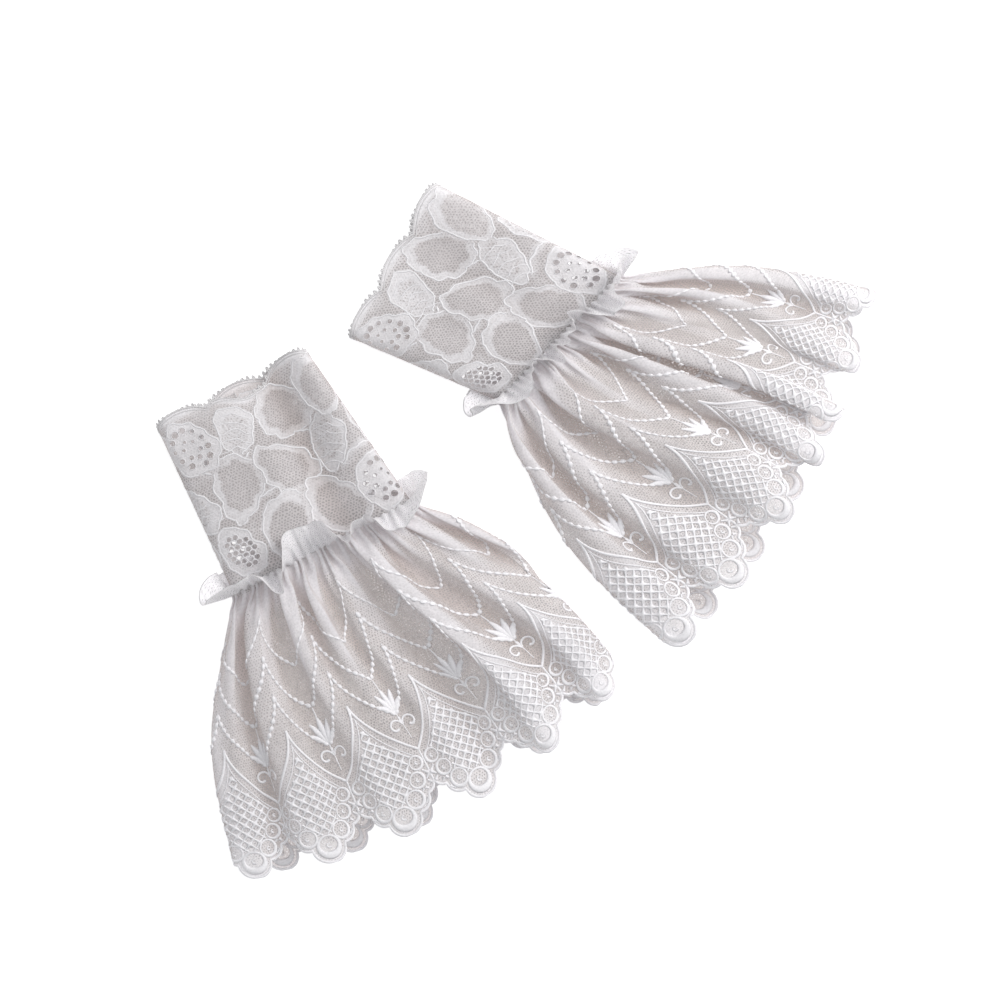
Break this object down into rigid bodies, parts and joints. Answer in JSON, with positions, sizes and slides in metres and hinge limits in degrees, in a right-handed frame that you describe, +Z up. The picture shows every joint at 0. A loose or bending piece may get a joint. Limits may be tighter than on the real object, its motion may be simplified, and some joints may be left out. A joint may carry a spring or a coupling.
{
  "type": "lace wrist cuffs",
  "caption": "Pair of fingerless lace wrist cuffs lying flat: stretch lace bands gathered to scalloped tulle flounces with raised embroidery.",
  "frame": {"origin": "centre of the pair's footprint, on the surface it lies on", "axes": "+Z up from the surface, through the thickness of the cuffs lying flat; +X across the pair, from the left cuff to the right one; +Y from the flounces' side towards the bands' side"},
  "size_m": [0.2943, 0.2851, 0.0224],
  "materials": {
    "stretch_lace": "floral stretch lace, soft matt",
    "flounce_tulle": "fine hexagonal tulle, see-through",
    "frill_tulle": "doubled tulle, soft",
    "embroidery_thread": "satin stitch, light sheen",
    "sewing_thread": "spun thread, matt",
    "elastic": "covered narrow elastic, matt"
  },
  "bodies": {
    "left_cuff_band": {"left_wrist_band": "stretch_lace", "left_picot_edging": "embroidery_thread", "left_band_side_seam": "sewing_thread", "left_joining_elastic": "elastic", "left_gathering_stitches": "sewing_thread", "left_heading_frill": "frill_tulle"},
    "left_cuff_flounce": {"left_flounce": "flounce_tulle", "left_flounce_side_seam": "sewing_thread", "left_scallop_edging": "embroidery_thread"},
    "right_cuff_band": {"right_wrist_band": "stretch_lace", "right_picot_edging": "embroidery_thread", "right_band_side_seam": "sewing_thread", "right_joining_elastic": "elastic", "right_gathering_stitches": "sewing_thread", "right_heading_frill": "frill_tulle"},
    "right_cuff_flounce": {"right_flounce": "flounce_tulle", "right_flounce_side_seam": "sewing_thread", "right_scallop_edging": "embroidery_thread"}
  },
  "joints": [
    {"name": "left_flounce_turn_back", "type": "hinge", "parent": "left_cuff_band", "child": "left_cuff_flounce", "pos_m": [-0.07818, -0.00915, 0.0142], "axis": [-0.8854, -0.4648, 0], "range_deg": [0, 60]},
    {"name": "right_cuff_lift", "type": "slide", "parent": "left_cuff_band", "child": "right_cuff_band", "axis": [0, 0, 1], "range_m": [0, 0.1]},
    {"name": "right_flounce_turn_back", "type": "hinge", "parent": "right_cuff_band", "child": "right_cuff_flounce", "pos_m": [0.02042, 0.07785, 0.0142], "axis": [-0.6984, -0.7157, 0], "range_deg": [0, 60]}
  ]
}
